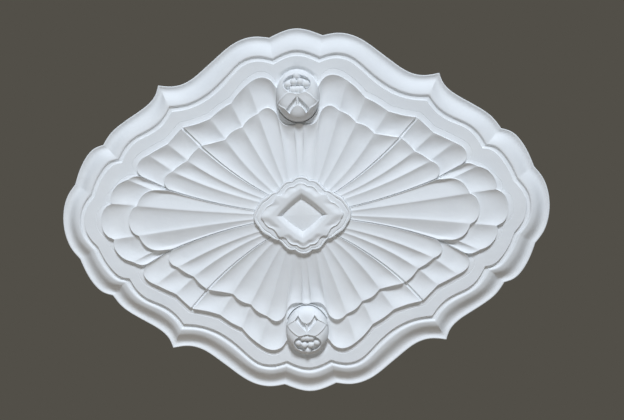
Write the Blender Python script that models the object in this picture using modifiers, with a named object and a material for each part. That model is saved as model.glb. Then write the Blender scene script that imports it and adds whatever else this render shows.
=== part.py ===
"""Oval ceiling rose cast in fibrous plaster.

Metres, +Z up.  The flat back lies against the ceiling at z = 0 and the carved face looks down.
The origin is at the middle of the back.  A depth is measured down from the ceiling.
The rose is the same in all four quarters, so one quarter is modelled and mirrored.
The carving is drawn in millimetres on a rose of the drawn size and stretched to the real size.
"""
import math

import bmesh
import bpy
import numpy as np

# Overall size
ROSE_LENGTH = 1.000
ROSE_WIDTH = 0.748
DRAWN_LENGTH = 1000.0
DRAWN_WIDTH = 748.0
STRETCH = np.array([ROSE_LENGTH / DRAWN_LENGTH, ROSE_WIDTH / DRAWN_WIDTH])
MILLIMETRE = 0.001

# Depths of the moulding, from the lip at the outer edge in to the field
LIP_DEPTH = 0.0107
LIP_FOOT_DEPTH = 0.0087
CURVE_LOW_DEPTH = 0.0128
CURVE_HIGH_DEPTH = 0.0217
BEAD_DEPTH = 0.0256
GROOVE_DEPTH = 0.0225
FIELD_DEPTH = 0.0280
# Where they lie, as shares of the moulding's width from the outer edge in
LIP_FOOT_SHARE = 0.17
CURVE_LOW_SHARE = 0.36
CURVE_HIGH_SHARE = 0.55
BEAD_SHARE = 0.74
GROOVE_OUTER_SHARE = 0.83
GROOVE_INNER_SHARE = 0.96

# Depths of the two tiers of flutes, along the ridges
SKIRT_DEPTH = 0.0288
OUTER_ROOT_DEPTH = 0.0315
OUTER_DIP_DEPTH = 0.0318
OUTER_RIM_DEPTH = 0.0355
INNER_ROOT_DEPTH = 0.0445
INNER_DIP_DEPTH = 0.0360
INNER_RIM_DEPTH = 0.0370
FLUTE_DEPTH = 0.0050
DIVIDER_DEPTH = 0.0045

# Widths along the face
FLUTE_WIDTH = 0.034
RIM_WALL = 0.0025
INNER_SCOOP = 0.030
OUTER_SCOOP = 0.034
DIVIDER_HALF_WIDTH = 0.0034
DIVIDER_ROOT_HALF_WIDTH = 0.0012
PLAQUE_DRAFT = 0.0015
BAND_STEP_WIDTH = 0.0015

# Plaque
BODY_CENTRE_DEPTH = 0.036
PLAQUE_ROOT_DEPTH = 0.030
BAND_DEPTH = 0.0510
RUFFLE_DEPTH = 0.0542
HOLLOW_DEPTH = 0.0515
KNOT_DEPTH = 0.0565
SEAT_RIM_DEPTH = 0.0555
SEAT_ROLL_DEPTH = 0.0525
SEAT_DEPTH = 0.0450
SEAT_HALF_LENGTH = 0.0420
SEAT_HALF_WIDTH = 0.0330
SEAT_RIM_LENGTH = 0.0525
SEAT_RIM_WIDTH = 0.0490

# Buds
BUD_ROOT_DEPTH = 0.015
BUD_BASE_DEPTH = 0.027
BUD_DEPTH = 0.0565
SEPAL_STEP = 0.0030
BUD_MOUTH_STEP = 0.0085
BUD_GAP_STEP = 0.0050
CARVED_EDGE = 0.0030

# Lines of the plan, each from the short axis round to the long axis in one quarter.
# A "c" marks a cusp, and an "r" the point where the line crosses a rail.
OUTLINE = (
    (0, 374, "r"), (14, 372.5, "r"), (54, 358, "rc"), (84, 361.5, "r"), (122, 352, "r"),
    (150, 334, ""), (166, 321, "r"), (192, 300, ""), (218, 281, "r"), (250, 270, ""),
    (285, 273, "rc"), (292, 254, ""), (314, 231, "r"), (336, 217, ""), (362, 201, "r"),
    (390, 179, ""), (406, 157, "rc"), (424, 151, "r"), (447, 128, "r"), (463, 97, ""),
    (470, 78, "rc"), (486, 57, "r"), (497, 28, ""), (500, 0, "r"),
)
FIELD_EDGE = (
    (0, 317.5, "r"), (13, 316, "r"), (45.5, 302.5, "rc"), (73, 309.5, "r"), (104, 303.5, "r"),
    (124, 288, ""), (143, 269, "r"), (166, 249, ""), (192, 233, "r"), (222, 222, ""),
    (256, 217.5, "rc"), (266, 203, ""), (283, 186, "r"), (304, 173.5, ""), (328, 162.5, "r"),
    (350, 143, ""), (364, 119, "rc"), (379, 116, "r"), (399, 99, "r"), (415, 74, ""),
    (424.5, 51.5, "rc"), (437, 37, "r"), (447, 18, ""), (449.5, 0, "r"),
)
OUTER_RIM = (
    (0, 232, "r"), (14, 236, "r"), (44.5, 258.5, "r"), (51.5, 268.5, ""), (72, 276.5, "r"),
    (98.5, 264.5, "r"), (118.5, 247, ""), (134, 228, "rc"), (156, 216, ""), (177.5, 199.5, "rc"),
    (205, 190.5, ""), (235, 184.5, "rc"), (251, 169, ""), (266.5, 153, "rc"), (287, 143, ""),
    (307, 132.5, "rc"), (326, 120, ""), (331.5, 106.5, "r"), (326.5, 94, ""), (318, 87, "rc"),
    (329, 90.5, ""), (340, 89.5, ""), (351.5, 84, "rc"), (371, 76, "r"), (385, 60, ""),
    (389, 46, ""), (387, 36.5, "rc"), (401, 29, ""), (409.5, 14.5, ""), (411.5, 0, "r"),
)
INNER_RIM = (
    (0, 183, "r"), (9.5, 179.5, "rc"), (30, 181.5, ""), (40.5, 194, "r"), (46, 206, ""),
    (62, 216, "r"), (81, 205, "rc"), (100.5, 194.5, ""), (113.5, 179.5, "rc"),
    (134, 171.5, ""), (149, 156.5, "rc"), (174, 151, ""), (200, 146, "rc"), (215, 133.5, ""),
    (227.5, 118, "rc"), (244, 109, ""), (259, 97.5, "rc"), (272, 90, ""), (277, 79, "r"),
    (273, 67, ""), (267, 60, "rc"), (283, 60.5, ""), (302, 61, "r"), (323, 51, "r"),
    (332, 38, ""), (335, 30.5, "rc"), (346, 24, ""), (352, 13, ""), (354.5, 0, "r"),
)
PLAQUE_FOOT = (
    (0, 79.5, "r"), (4.5, 79, "r"), (18, 71, "c"), (23.5, 71.5, "r"), (29, 70, "r"),
    (34.5, 67, "r"), (43.5, 57.5, "r"), (50.5, 50, "c"), (55.5, 48.5, "r"), (67, 43, "rc"),
    (78, 36.5, "r"), (86, 29.5, "r"), (91.5, 21, "rc"), (95.8, 13, "r"), (97, 10, "r"),
    (98, 7.5, "r"), (99, 5, "r"), (100, 0, "r"),
)

# Rails run out from the plaque to the outer edge, and every ridge of the fans lies on one of them.
STEM, NICHE, DIVIDER, SIDE_FAN, LEAF = 1, 2, 7, 11, 12
SHARED_RIDGES = (4, 5, 6, DIVIDER, 8, 9, SIDE_FAN, 14)
INNER_RIDGES = (STEM, NICHE) + SHARED_RIDGES
OUTER_RIDGES = (NICHE, LEAF) + SHARED_RIDGES
GROOVED_RAILS = (DIVIDER, SIDE_FAN)
RAIL_STEPS = (1, 3, 3, 2, 3, 3, 3, 3, 3, 3, 2, 2, 2, 2, 2)
# Sideways bend of each rail across the inner tier, in drawn millimetres
RAIL_BEND = (0, 0, 0, 0.5, 1, 2, 5.5, 5.5, 6, 5, 4.6, 4.2, 3.5, 2.5, 1.5, 0)

# Places of the rings across a tier: 0 at its root, 1 where the scoop starts, 2 on the rim
INNER_RINGS = (0, 0.35, 0.7, 1, 1.6, 2)
OUTER_RINGS = (0, 1, 2)
# Powers of the fall from the plaque to the dip, of the rise to a rim, and of a flute's section
INNER_FALL = 1.7
SCOOP_POWER = 2.2
FLUTE_POWER = 2.2
# Hollow of a flute at its root, as a share of its full depth
INNER_ROOT_HOLLOW = 0.3
OUTER_ROOT_HOLLOW = 0.7
SPLINE_STEPS = 16

# Plaque lines: one point for each rail of the plaque
PLAQUE_EDGE = (
    (0, 77.5, "r"), (10, 75.5, ""), (17.7, 69.2, "rc"), (25, 69.5, ""), (34, 65.5, "r"),
    (42.2, 56, ""), (49.1, 48.6, "rc"), (57.5, 46.5, ""), (65.8, 41.2, "rc"), (75, 36, ""),
    (83, 29.5, "r"), (88.4, 20.6, "rc"), (94, 13, ""), (97.5, 0, "r"),
)
BAND_INNER = (
    (0, 66, "r"), (8, 64, ""), (14, 59.5, "rc"), (24, 58, ""), (31, 52, "r"), (36, 45, ""),
    (42, 41.5, "rc"), (48, 41.5, ""), (52, 36.5, "rc"), (59, 26.5, ""), (70, 20.5, "r"),
    (77, 12.5, "rc"), (80, 6, ""), (83, 0, "r"),
)
PLAQUE_STEPS = (2, 2, 3, 2, 3, 2, 2)
# Swell of the ruffle at each rail of the plaque: 0 in a hollow, 1 on a knot
RUFFLE_SWELL = (0.5, 0, 0, 0.9, 1, 0, 0.3, 1)

# Bud, drawn in millimetres: an egg on the short axis, with its mouth towards the outer edge
BUD_CENTRE = np.array([0.0, 238.0])
BUD_HALF = np.array([44.0, 52.0])
BUD_FLATNESS = 2.6
BUD_ROUNDNESS = 0.42
# How far the bud has sunk at its outer tip, as a share of its height
BUD_TIP_FALL = 0.6
SEPAL_TOP = 219.5
SEPAL_NOTCH = (16.5, 204.0)
SEPAL_FLANK = 26.5
SEPAL_FLANK_RISE = 25.0
PETAL_MEET = 236.5
GAP_SLOPE = 0.6
MOUTH_CENTRE = 262.5
MOUTH_HALF = (28.0, 20.0)
BUD_HALF_STEPS = 14
BUD_RINGS = (0.22, 0.44, 0.64, 0.8, 0.92, 1.0)
# Stamens: distance from the axis, distance from the middle of the rose, radius
STAMENS = ((0, 249.5, 8.0), (18.5, 260, 7.5), (6.5, 264.5, 7.5), (0, 277, 8.0))
STAMEN_SINK = 0.66
STAMEN_SUBDIVISIONS = 2


def smooth_run(points):
    """Dense points of a natural cubic spline, with SPLINE_STEPS steps from each point to the next."""
    p = np.array(points, float)
    chord = np.linalg.norm(np.diff(p, axis=0), axis=1)
    size = len(p)
    lhs = np.eye(size)
    rhs = np.zeros((size, 2))
    for i in range(1, size - 1):
        lhs[i, i - 1:i + 2] = chord[i - 1], 2 * (chord[i - 1] + chord[i]), chord[i]
        rhs[i] = 6 * ((p[i + 1] - p[i]) / chord[i] - (p[i] - p[i - 1]) / chord[i - 1])
    bend = np.linalg.solve(lhs, rhs)
    right = np.linspace(0, 1, SPLINE_STEPS, endpoint=False)[:, None]
    left = 1 - right
    dense = []
    for i in range(size - 1):
        cubic = (left ** 3 - left) * bend[i] + (right ** 3 - right) * bend[i + 1]
        dense.append(left * p[i] + right * p[i + 1] + cubic * chord[i] ** 2 / 6)
    return np.concatenate(dense)


def trace(line):
    """Dense points of one plan line in metres, the length at each of them and at each rail."""
    points = [np.array(entry[:2], float) for entry in line]
    last = len(points) - 1
    breaks = [0] + [i for i in range(1, last) if "c" in line[i][2]] + [last]
    dense = []
    for start, end in zip(breaks, breaks[1:]):
        run = points[start:end + 1]
        skip = 0
        if start == 0:
            run = [p * (-1, 1) for p in run[:0:-1]] + run
            skip = (end - start) * SPLINE_STEPS
        if end == last:
            run = run + [p * (1, -1) for p in points[start:end][::-1]]
        dense.append(smooth_run(run)[skip:skip + (end - start) * SPLINE_STEPS])
    dense.append(points[-1:])
    dense = np.concatenate(dense) * STRETCH
    steps = np.linalg.norm(np.diff(dense, axis=0), axis=1)
    length = np.concatenate([[0], np.cumsum(steps)])
    rails = [length[i * SPLINE_STEPS] for i in range(last + 1) if "r" in line[i][2]]
    return dense, length, rails


def column_places(rail_steps, grooved):
    """Where each column of a mesh runs: its rail, its share of the way to the next one, its side.

    Side 0 is on the rail itself, and side 1 is clear of any groove that lies on a rail.
    """
    places = []
    for rail, steps in enumerate(rail_steps):
        places.append((rail, 0.0, 0))
        first = 0 if rail in grooved else 1
        end = steps + 1 if rail + 1 in grooved else steps
        places += [(rail, i / steps, 1) for i in range(first, end)]
    places.append((len(rail_steps), 0.0, 0))
    return places


def lay_columns(line, places, grooved=(), groove_half_width=0.0):
    """Plan points where the columns cross a line, and how far along the line each one is."""
    dense, length, rails = trace(line)
    along = []
    for rail, share, side in places:
        start = rails[rail]
        end = rails[min(rail + 1, len(rails) - 1)]
        if side and rail in grooved:
            start += groove_half_width
        if side and rail + 1 in grooved:
            end -= groove_half_width
        along.append(start + share * (end - start))
    along = np.array(along)
    xy = np.stack([np.interp(along, length, dense[:, axis]) for axis in (0, 1)], axis=-1)
    return xy, along


def at_columns(rail_values, places):
    """Values given for the rails, worked out for every column."""
    where = [rail + share for rail, share, side in places]
    return np.interp(where, range(len(rail_values)), rail_values)


def flute_hollows(along, ridges, places):
    """How far each column lies below the ridges on either side of its flute, in metres."""
    ridge_at = [distance for place, distance in zip(places, along)
                if place[0] in ridges and place[2] == 0]
    marks = np.array([-ridge_at[0]] + ridge_at + [2 * along[-1] - ridge_at[-1]])
    flute = np.clip(np.searchsorted(marks, along, side="right") - 1, 0, len(marks) - 2)
    width = marks[flute + 1] - marks[flute]
    across = 2 * (along - marks[flute]) / width - 1
    depth = FLUTE_DEPTH * np.minimum(1, width / FLUTE_WIDTH)
    return depth * (1 - np.abs(across) ** FLUTE_POWER)


def towards(xy, target, distance):
    """Plan points moved a set distance along their columns towards the next line."""
    way = target - xy
    return xy + way * (distance / np.linalg.norm(way, axis=1, keepdims=True))


def tier_rings(root, rim, hollows, groove, depths, scoop, fall, root_hollow, bend, ring_places):
    """Rings of one tier of flutes, from its root over the dip and up the scoops to its rim."""
    root_depth, dip_depth, rim_depth = depths
    span = rim - root
    reach = np.linalg.norm(span, axis=1)
    side = np.stack([span[:, 1], -span[:, 0]], axis=-1) / reach[:, None]
    curve = scoop / reach
    rings = []
    for place in ring_places:
        climb = max(place - 1, 0)
        run = min(place, 1)
        along = (run * (1 - curve) + climb * curve)[:, None]
        xy = root + span * along + side * bend[:, None] * 4 * along * (1 - along)
        fallen = 1 - (1 - run) ** fall
        risen = climb ** SCOOP_POWER
        crest = root_depth + (dip_depth - root_depth) * fallen + (rim_depth - dip_depth) * risen
        hollow = (root_hollow + (1 - root_hollow) * run) * (1 - risen)
        rings.append((xy, crest - hollows * hollow - groove * (1 + run) / 2))
    return rings


def quarter_rings():
    """Rings of the body in one quarter, from the plaque's foot to the back edge."""
    places = column_places(RAIL_STEPS, GROOVED_RAILS)
    foot = lay_columns(PLAQUE_FOOT, places, GROOVED_RAILS, DIVIDER_ROOT_HALF_WIDTH)[0]
    inner_rim, inner_along = lay_columns(INNER_RIM, places, GROOVED_RAILS, DIVIDER_HALF_WIDTH)
    outer_rim, outer_along = lay_columns(OUTER_RIM, places, GROOVED_RAILS, DIVIDER_HALF_WIDTH)
    field_edge = lay_columns(FIELD_EDGE, places, GROOVED_RAILS, DIVIDER_HALF_WIDTH)[0]
    outline = lay_columns(OUTLINE, places, GROOVED_RAILS, DIVIDER_HALF_WIDTH)[0]
    groove = np.array([rail in GROOVED_RAILS and side == 0 for rail, share, side in places])
    groove = groove * DIVIDER_DEPTH
    bend = at_columns(RAIL_BEND, places) * MILLIMETRE
    flat = np.zeros(len(places))

    inner_depths = (INNER_ROOT_DEPTH, INNER_DIP_DEPTH, INNER_RIM_DEPTH)
    hollows = flute_hollows(inner_along, INNER_RIDGES, places)
    rings = tier_rings(foot, inner_rim, hollows, groove, inner_depths, INNER_SCOOP, INNER_FALL,
                       INNER_ROOT_HOLLOW, bend, INNER_RINGS)

    outer_root = towards(inner_rim, outer_rim, RIM_WALL)
    outer_depths = (OUTER_ROOT_DEPTH, OUTER_DIP_DEPTH, OUTER_RIM_DEPTH)
    hollows = flute_hollows(outer_along, OUTER_RIDGES, places)
    rings += tier_rings(outer_root, outer_rim, hollows, groove, outer_depths, OUTER_SCOOP, 1,
                        OUTER_ROOT_HOLLOW, flat, OUTER_RINGS)

    rings.append((towards(outer_rim, field_edge, RIM_WALL), flat + SKIRT_DEPTH))
    rings.append((field_edge, flat + FIELD_DEPTH))
    across = field_edge - outline
    profile = ((GROOVE_INNER_SHARE, GROOVE_DEPTH), (GROOVE_OUTER_SHARE, GROOVE_DEPTH),
               (BEAD_SHARE, BEAD_DEPTH), (CURVE_HIGH_SHARE, CURVE_HIGH_DEPTH),
               (CURVE_LOW_SHARE, CURVE_LOW_DEPTH), (LIP_FOOT_SHARE, LIP_FOOT_DEPTH), (0, LIP_DEPTH),
               (0, 0))
    rings += [(outline + across * share, flat + depth) for share, depth in profile]
    return rings


def plaque_rings():
    """Rings of the plaque in one quarter, from the seat for a lamp to the foot."""
    places = column_places(PLAQUE_STEPS, ())
    edge = lay_columns(PLAQUE_EDGE, places)[0]
    band = lay_columns(BAND_INNER, places)[0]
    side = at_columns(np.linspace(0, 1, len(PLAQUE_STEPS) + 1), places)
    seat_corner = np.stack([side, 1 - side], axis=-1)
    seat = seat_corner * (SEAT_HALF_LENGTH, SEAT_HALF_WIDTH)
    seat_rim = seat_corner * (SEAT_RIM_LENGTH, SEAT_RIM_WIDTH)
    ruffle = towards(band, seat_rim, BAND_STEP_WIDTH)
    swell = at_columns(RUFFLE_SWELL, places)
    hollow = HOLLOW_DEPTH + (KNOT_DEPTH - HOLLOW_DEPTH) * swell
    flat = np.zeros(len(places))
    return [
        (seat, flat + SEAT_DEPTH),
        ((seat + seat_rim) / 2, flat + SEAT_ROLL_DEPTH),
        (seat_rim, flat + SEAT_RIM_DEPTH),
        ((seat_rim + ruffle) / 2, hollow),
        (ruffle, flat + RUFFLE_DEPTH),
        (band, flat + BAND_DEPTH),
        (edge, flat + BAND_DEPTH),
        (edge + edge / np.linalg.norm(edge, axis=1, keepdims=True) * PLAQUE_DRAFT,
         flat + PLAQUE_ROOT_DEPTH),
    ]


def soft_step(value, width):
    """0 below zero, 1 above the width, and a smooth rise between."""
    share = np.clip(value / width, 0, 1)
    return share * share * (3 - 2 * share)


def bud_dome(xy):
    """Depth of a bud's round body, without its leaves."""
    share = (xy / STRETCH - BUD_CENTRE) / BUD_HALF
    egg = np.sum(share ** 2, axis=-1)
    round_off = np.clip(1 - egg ** BUD_FLATNESS, 0, 1) ** BUD_ROUNDNESS
    tip_fall = 1 - BUD_TIP_FALL * np.clip(share[..., 1], 0, 1) ** 2
    return BUD_BASE_DEPTH + (BUD_DEPTH - BUD_BASE_DEPTH) * round_off * tip_fall


def bud_depth(xy):
    """Depth of a bud's surface: sepals at its foot, petals, and the mouth that they leave open."""
    across = np.abs(xy[..., 0]) / STRETCH[0]
    along = xy[..., 1] / STRETCH[1]
    middle = SEPAL_TOP - (SEPAL_TOP - SEPAL_NOTCH[1]) * (across / SEPAL_NOTCH[0]) ** 2
    flank = SEPAL_NOTCH[1] + SEPAL_FLANK_RISE * np.clip((across - SEPAL_NOTCH[0]) / SEPAL_FLANK, 0, 1)
    sepal_edge = np.where(across < SEPAL_NOTCH[0], middle, flank)
    soft = CARVED_EDGE / MILLIMETRE
    sepal = soft_step(sepal_edge - along, soft)
    mouth = 1 - np.sqrt((across / MOUTH_HALF[0]) ** 2 + ((along - MOUTH_CENTRE) / MOUTH_HALF[1]) ** 2)
    mouth = soft_step(mouth * MOUTH_HALF[1], soft)
    gap = soft_step((PETAL_MEET - along) * GAP_SLOPE - across, soft) * (1 - sepal)
    return bud_dome(xy) + SEPAL_STEP * sepal - BUD_MOUTH_STEP * mouth - BUD_GAP_STEP * gap


def bud_rings():
    """Rings of half a bud, from its crown down to its root inside the body."""
    angles = np.linspace(math.pi / 2, -math.pi / 2, BUD_HALF_STEPS + 1)
    ray = np.stack([np.cos(angles), np.sin(angles)], axis=-1)
    ray[[0, -1], 0] = 0
    rings = []
    for share in BUD_RINGS:
        xy = (BUD_CENTRE + ray * BUD_HALF * share) * STRETCH
        rings.append((xy, bud_depth(xy)))
    rings.append((rings[-1][0], np.full(len(ray), BUD_ROOT_DEPTH)))
    return rings


def close_rings(name, rings, centre, centre_depth, back_depth):
    """Half or a quarter of a solid: rings joined in turn, closed in the middle in front and behind."""
    mesh = bmesh.new()
    front = mesh.verts.new((*centre, -centre_depth))
    back = mesh.verts.new((*centre, -back_depth))
    rows = [[mesh.verts.new((x, y, -d)) for (x, y), d in zip(xy, depth)] for xy, depth in rings]
    for j in range(len(rows[0]) - 1):
        mesh.faces.new((front, rows[0][j], rows[0][j + 1]))
        for near, far in zip(rows, rows[1:]):
            mesh.faces.new((near[j], far[j], far[j + 1], near[j + 1]))
        mesh.faces.new((rows[-1][j], back, rows[-1][j + 1]))
    data = bpy.data.meshes.new(name)
    mesh.to_mesh(data)
    mesh.free()
    return bpy.data.objects.new(name, data)


def mirror_quarters(shape):
    """Mirrors a quarter, or the half of one end, about both axes of the rose."""
    mirror = shape.modifiers.new("quarters", "MIRROR")
    mirror.use_axis = (True, True, False)
    mirror.merge_threshold = 0.0001


def join(body, piece, overlapping=False):
    """Makes one solid of the body and a piece that is cast with it, whose own shells may overlap."""
    boolean = body.modifiers.new(piece.name, "BOOLEAN")
    boolean.operation = "UNION"
    boolean.solver = "EXACT"
    boolean.use_self = overlapping
    boolean.object = piece


def stamen_balls():
    """Round heads of the stamens that fill the mouths of both buds."""
    mesh = bmesh.new()
    for across, along, radius in STAMENS:
        for side in ((1, -1) if across else (1,)):
            for end in (1, -1):
                xy = np.array([across * side, along * end]) * STRETCH
                size = radius * MILLIMETRE
                depth = bud_dome(xy * (1, end)) - STAMEN_SINK * size
                ball = bmesh.ops.create_icosphere(mesh, subdivisions=STAMEN_SUBDIVISIONS, radius=size)
                bmesh.ops.translate(mesh, verts=ball["verts"], vec=(*xy, -depth))
    data = bpy.data.meshes.new("stamens")
    mesh.to_mesh(data)
    mesh.free()
    return bpy.data.objects.new("stamens", data)


def plaster():
    """White gypsum plaster, unpainted."""
    material = bpy.data.materials.new("fibrous_plaster")
    material.use_nodes = True
    shader = material.node_tree.nodes["Principled BSDF"]
    shader.inputs["Base Color"].default_value = (0.80, 0.79, 0.77, 1)
    shader.inputs["Roughness"].default_value = 0.85
    shader.inputs["Metallic"].default_value = 0
    return material


def build():
    for old in list(bpy.data.objects):
        bpy.data.objects.remove(old, do_unlink=True)
    model = bpy.data.collections.new("ceiling_rose")
    pieces = bpy.data.collections.new("joined_pieces")
    bpy.context.scene.collection.children.link(model)
    bpy.context.scene.collection.children.link(pieces)

    body = close_rings("ceiling_rose", quarter_rings(), (0, 0), BODY_CENTRE_DEPTH, 0)
    mirror_quarters(body)
    model.objects.link(body)

    plaque = close_rings("plaque", plaque_rings(), (0, 0), SEAT_DEPTH, PLAQUE_ROOT_DEPTH)
    bud_middle = BUD_CENTRE * STRETCH
    buds = close_rings("buds", bud_rings(), bud_middle, bud_depth(bud_middle), BUD_ROOT_DEPTH)
    mirror_quarters(plaque)
    mirror_quarters(buds)
    stamens = stamen_balls()
    for piece in (plaque, buds, stamens):
        piece.hide_render = True
        piece.display_type = "WIRE"
        pieces.objects.link(piece)
        join(body, piece, overlapping=piece is stamens)
    body.data.materials.append(plaster())


build()
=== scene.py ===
import math

import bpy
import numpy as np
from mathutils import Matrix, Vector


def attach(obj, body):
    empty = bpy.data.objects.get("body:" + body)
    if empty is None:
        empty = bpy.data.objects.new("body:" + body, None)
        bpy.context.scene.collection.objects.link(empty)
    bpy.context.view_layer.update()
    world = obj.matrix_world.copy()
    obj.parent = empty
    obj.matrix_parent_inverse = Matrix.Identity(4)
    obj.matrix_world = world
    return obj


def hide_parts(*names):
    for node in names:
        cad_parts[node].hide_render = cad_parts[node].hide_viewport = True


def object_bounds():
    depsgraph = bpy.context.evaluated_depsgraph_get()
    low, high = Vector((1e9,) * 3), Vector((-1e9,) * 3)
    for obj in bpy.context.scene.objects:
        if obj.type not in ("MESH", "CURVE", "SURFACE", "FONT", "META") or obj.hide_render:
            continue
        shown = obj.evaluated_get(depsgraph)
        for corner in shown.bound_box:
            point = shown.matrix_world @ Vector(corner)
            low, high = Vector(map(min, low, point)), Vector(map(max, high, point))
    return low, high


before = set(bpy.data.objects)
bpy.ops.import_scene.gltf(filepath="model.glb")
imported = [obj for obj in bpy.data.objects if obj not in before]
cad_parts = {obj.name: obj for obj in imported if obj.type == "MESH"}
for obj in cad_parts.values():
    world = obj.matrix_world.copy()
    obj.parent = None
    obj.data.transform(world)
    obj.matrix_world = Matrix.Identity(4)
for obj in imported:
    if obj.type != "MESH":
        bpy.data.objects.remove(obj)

# The plan is drawn in millimetres on a rose 1000 by 748, and stretched to the solid's size.
CAD_LOW, CAD_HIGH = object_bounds()
STRETCH = np.array([(CAD_HIGH.x - CAD_LOW.x) / 1000, (CAD_HIGH.y - CAD_LOW.y) / 748])
MILLIMETRE = 0.001

# Depths below the ceiling, in millimetres
FIELD_DEPTH, SKIRT_DEPTH = 28.0, 28.6
OUTER_ROOT_DEPTH, OUTER_DIP_DEPTH, OUTER_RIM_DEPTH = 31.5, 31.8, 35.5
INNER_ROOT_DEPTH, INNER_DIP_DEPTH, INNER_RIM_DEPTH = 44.5, 36.0, 37.0
BAND_DEPTH, SEAT_RIM_DEPTH, SEAT_DEPTH, PLAQUE_ROOT_DEPTH = 51.0, 55.3, 45.0, 30.0
# Flutes: depth and width of a full one, powers of its section, of the fall from the plaque and of
# the rise to a rim, and the hollow at the roots as a share of the full depth
FLUTE_DEPTH, FLUTE_WIDTH, FLUTE_POWER = 5.0, 34.0, 2.2
INNER_FALL, SCOOP_POWER = 1.4, 2.2
INNER_ROOT_HOLLOW, OUTER_ROOT_HOLLOW = 0.3, 0.7
INNER_SCOOP, OUTER_SCOOP, RIM_WALL, SKIRT_WIDTH = 30.0, 34.0, 2.3, 10.0
DIVIDER_DEPTH, DIVIDER_HALF_WIDTH, DIVIDER_ROOT_HALF_WIDTH = 5.0, 3.4, 1.2
# Corners of the sunk lozenge at its floor and at its rim
SEAT_CORNERS, SEAT_RIM_CORNERS = np.array([42.0, 33.0]), np.array([52.5, 49.0])
SPLINE_STEPS = 16

# Lines of the plan, each from the short axis round to the long axis in one quarter.
# A "c" marks a cusp, and an "r" the point where the line crosses a rail.
OUTLINE = (
    (0, 374, "r"), (14, 372.5, "r"), (54, 358, "rc"), (84, 361.5, "r"), (122, 352, "r"),
    (150, 334, ""), (166, 321, "r"), (192, 300, ""), (218, 281, "r"), (250, 270, ""),
    (285, 273, "rc"), (292, 254, ""), (314, 231, "r"), (336, 217, ""), (362, 201, "r"),
    (390, 179, ""), (406, 157, "rc"), (424, 151, "r"), (447, 128, "r"), (463, 97, ""),
    (470, 78, "rc"), (486, 57, "r"), (497, 28, ""), (500, 0, "r"),
)
FIELD_EDGE = (
    (0, 317.5, "r"), (13, 316, "r"), (45.5, 302.5, "rc"), (73, 309.5, "r"), (104, 303.5, "r"),
    (124, 288, ""), (143, 269, "r"), (166, 249, ""), (192, 233, "r"), (222, 222, ""),
    (256, 217.5, "rc"), (266, 203, ""), (283, 186, "r"), (304, 173.5, ""), (328, 162.5, "r"),
    (350, 143, ""), (364, 119, "rc"), (379, 116, "r"), (399, 99, "r"), (415, 74, ""),
    (424.5, 51.5, "rc"), (437, 37, "r"), (447, 18, ""), (449.5, 0, "r"),
)
OUTER_RIM = (
    (0, 232, "r"), (14, 236, "r"), (44.5, 258.5, "r"), (51.5, 268.5, ""), (72, 276.5, "r"),
    (98.5, 264.5, "r"), (118.5, 247, ""), (134, 228, "rc"), (156, 216, ""), (177.5, 199.5, "rc"),
    (205, 190.5, ""), (235, 184.5, "rc"), (251, 169, ""), (266.5, 153, "rc"), (287, 143, ""),
    (307, 132.5, "rc"), (326, 120, ""), (331.5, 106.5, "r"), (326.5, 94, ""), (318, 87, "rc"),
    (329, 90.5, ""), (340, 89.5, ""), (351.5, 84, "rc"), (371, 76, "r"), (385, 60, ""),
    (389, 46, ""), (387, 36.5, "rc"), (401, 29, ""), (409.5, 14.5, ""), (411.5, 0, "r"),
)
INNER_RIM = (
    (0, 183, "r"), (9.5, 179.5, "rc"), (30, 181.5, ""), (40.5, 194, "r"), (46, 206, ""),
    (62, 216, "r"), (81, 205, "rc"), (100.5, 194.5, ""), (113.5, 179.5, "rc"),
    (134, 171.5, ""), (149, 156.5, "rc"), (174, 151, ""), (200, 146, "rc"), (215, 133.5, ""),
    (227.5, 118, "rc"), (244, 109, ""), (259, 97.5, "rc"), (272, 90, ""), (277, 79, "r"),
    (273, 67, ""), (267, 60, "rc"), (283, 60.5, ""), (302, 61, "r"), (323, 51, "r"),
    (332, 38, ""), (335, 30.5, "rc"), (346, 24, ""), (352, 13, ""), (354.5, 0, "r"),
)
PLAQUE_FOOT = (
    (0, 79.5, "r"), (4.5, 79, "r"), (18, 71, "c"), (23.5, 71.5, "r"), (29, 70, "r"),
    (34.5, 67, "r"), (43.5, 57.5, "r"), (50.5, 50, "c"), (55.5, 48.5, "r"), (67, 43, "rc"),
    (78, 36.5, "r"), (86, 29.5, "r"), (91.5, 21, "rc"), (95.8, 13, "r"), (97, 10, "r"),
    (98, 7.5, "r"), (99, 5, "r"), (100, 0, "r"),
)

# Rails run out from the plaque to the outer edge, and every ridge of the fans lies on one of them.
STEM, NICHE, DIVIDER, SIDE_FAN, LEAF = 1, 2, 7, 11, 12
SHARED_RIDGES = (4, 5, 6, DIVIDER, 8, 9, SIDE_FAN, 14)
INNER_RIDGES = (STEM, NICHE) + SHARED_RIDGES
OUTER_RIDGES = (NICHE, LEAF) + SHARED_RIDGES
GROOVED_RAILS = (DIVIDER, SIDE_FAN)
RAIL_STEPS = (6, 13, 13, 11, 14, 17, 17, 14, 14, 14, 10, 10, 9, 9, 9)
# Sideways bend of each rail across the inner tier, in drawn millimetres
RAIL_BEND = (0, 0, 0, 0.5, 1, 2, 5.5, 5.5, 6, 5, 4.6, 4.2, 3.5, 2.5, 1.5, 0)

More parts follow.
